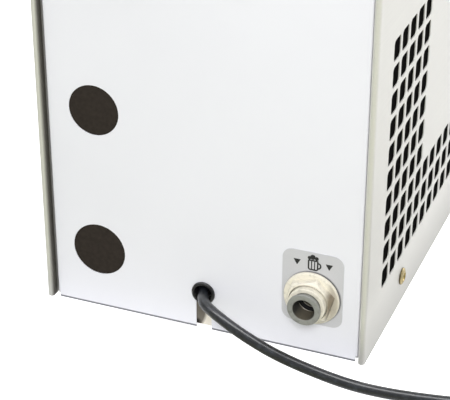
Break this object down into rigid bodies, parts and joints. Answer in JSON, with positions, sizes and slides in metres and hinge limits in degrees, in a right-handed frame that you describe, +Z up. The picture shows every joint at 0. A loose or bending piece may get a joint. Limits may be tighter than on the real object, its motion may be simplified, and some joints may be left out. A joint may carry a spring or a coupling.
{
  "type": "draft beer dispenser",
  "caption": "Countertop draft beer cooler in a sheet-metal casing with side vents, a lever tap over a drip tray, a push-in beer inlet and a mains lead at the back.",
  "frame": {"origin": "middle of the footprint of casing, drip tray and rear inlet, on the table top", "axes": "+Z up; -Y towards the drinker, where the tap is; +Y towards the back with inlet and lead; +X to the right seen from the front"},
  "size_m": [0.3641, 0.4736, 0.419],
  "materials": {
    "satin_steel": "satin stainless sheet",
    "white_coat": "white powder coat",
    "galvanised": "zinc coated sheet",
    "yellow_zinc": "yellow passivated zinc",
    "black_rubber": "matt moulded rubber",
    "silver_label": "silver film",
    "ivory_plastic": "moulded acetal",
    "grey_plastic": "moulded acetal",
    "clear_tube": "semi-clear polyethylene",
    "cord_black": "black PVC with a soft sheen",
    "tie_grey": "hook and loop strap",
    "plug_black": "moulded PVC",
    "black_plastic": "moulded nylon",
    "grey_housing": "moulded housing",
    "black_enamel": "gloss black enamel",
    "black_fins": "black coated fin stock",
    "copper": "drawn copper tube",
    "cast_aluminium": "cast and milled",
    "stainless_tube": "drawn stainless tube",
    "dark_foam": "closed-cell foam",
    "chrome": "polished chrome",
    "steel_pin": "ground steel",
    "grip_black": "gloss moulded grip"
  },
  "bodies": {
    "casing": {"base_plate": "galvanised", "rear_panel": "white_coat", "front_panel": "satin_steel", "left_side_panel": "satin_steel", "right_side_panel": "satin_steel", "top_panel": "satin_steel", "side_screws": "yellow_zinc", "top_screws": "yellow_zinc", "rubber_feet": "black_rubber", "foot_screws": "yellow_zinc", "foot_nuts": "yellow_zinc", "inlet_label": "silver_label", "inlet_body": "ivory_plastic", "inlet_nut": "ivory_plastic", "inlet_o_ring": "black_rubber", "inlet_elbow": "ivory_plastic", "beer_line": "clear_tube", "cable_grommet": "black_rubber", "mains_cord": "cord_black", "mains_cord_coil": "cord_black", "mains_cord_tail": "cord_black", "coil_tie": "tie_grey", "plug_body": "plug_black", "plug_pins": "chrome", "inner_lead": "cord_black", "power_switch_body": "black_plastic", "thermostat_body": "grey_housing", "thermostat_dial": "white_coat", "compressor_shell": "black_enamel", "compressor_cover": "black_plastic", "compressor_mounts": "black_rubber", "compressor_bolts": "yellow_zinc", "condenser_shroud": "galvanised", "condenser_fins": "black_fins", "condenser_tube": "copper", "fan_frame": "black_plastic", "filter_drier": "copper", "discharge_pipe": "copper", "capillary_tube": "copper", "suction_pipe": "copper", "block_shelf": "galvanised", "cold_block": "cast_aluminium", "beer_coil": "stainless_tube", "foam_tub": "dark_foam", "foam_lid": "dark_foam", "tap_shank": "chrome", "shank_nut": "chrome", "tap_body": "chrome", "tap_bonnet": "chrome", "tap_pivot_pin": "steel_pin"},
    "handle": {"tap_handle": "chrome", "tap_grip": "grip_black"},
    "stem": {"valve_stem": "steel_pin"},
    "flow_arm": {"flow_lever": "chrome"},
    "knob": {"thermostat_knob": "black_plastic"},
    "rocker": {"power_switch_rocker": "black_plastic"},
    "fan": {"fan_rotor": "black_plastic"},
    "collet": {"inlet_collet": "grey_plastic"},
    "tray": {"drip_tray": "satin_steel"},
    "grid": {"drip_grid": "chrome"}
  },
  "joints": [
    {"name": "handle_tilt", "type": "hinge", "parent": "casing", "child": "handle", "pos_m": [0, -0.1524, 0.304], "axis": [1, 0, 0], "range_deg": [-10, 25]},
    {"name": "stem_slide", "type": "slide", "parent": "casing", "child": "stem", "axis": [0, 1, 0], "range_m": [-0.0031, 0.0075]},
    {"name": "flow_turn", "type": "hinge", "parent": "casing", "child": "flow_arm", "pos_m": [0, -0.1124, 0.287], "axis": [1, 0, 0], "range_deg": [0, 90]},
    {"name": "knob_turn", "type": "hinge", "parent": "casing", "child": "knob", "pos_m": [0.045, 0.2154, 0.222], "axis": [0, -1, 0], "range_deg": [0, 270]},
    {"name": "rocker_tip", "type": "hinge", "parent": "casing", "child": "rocker", "pos_m": [-0.018, 0.2144, 0.222], "axis": [1, 0, 0], "range_deg": [0, 14]},
    {"name": "fan_spin", "type": "hinge", "parent": "casing", "child": "fan", "pos_m": [-0.05, 0.0701, 0.0842], "axis": [1, 0, 0], "continuous": true},
    {"name": "collet_push", "type": "slide", "parent": "casing", "child": "collet", "axis": [0, -1, 0], "range_m": [0, 0.002]},
    {"name": "tray_slide", "type": "slide", "parent": "casing", "child": "tray", "axis": [0, -1, 0], "range_m": [0, 0.12]},
    {"name": "grid_lift", "type": "slide", "parent": "tray", "child": "grid", "axis": [0, 0, 1], "range_m": [0, 0.1]}
  ],
  "couplings": [
    {"joint": "stem_slide", "follows": "handle_tilt", "m_per_rad": 0.017}
  ]
}
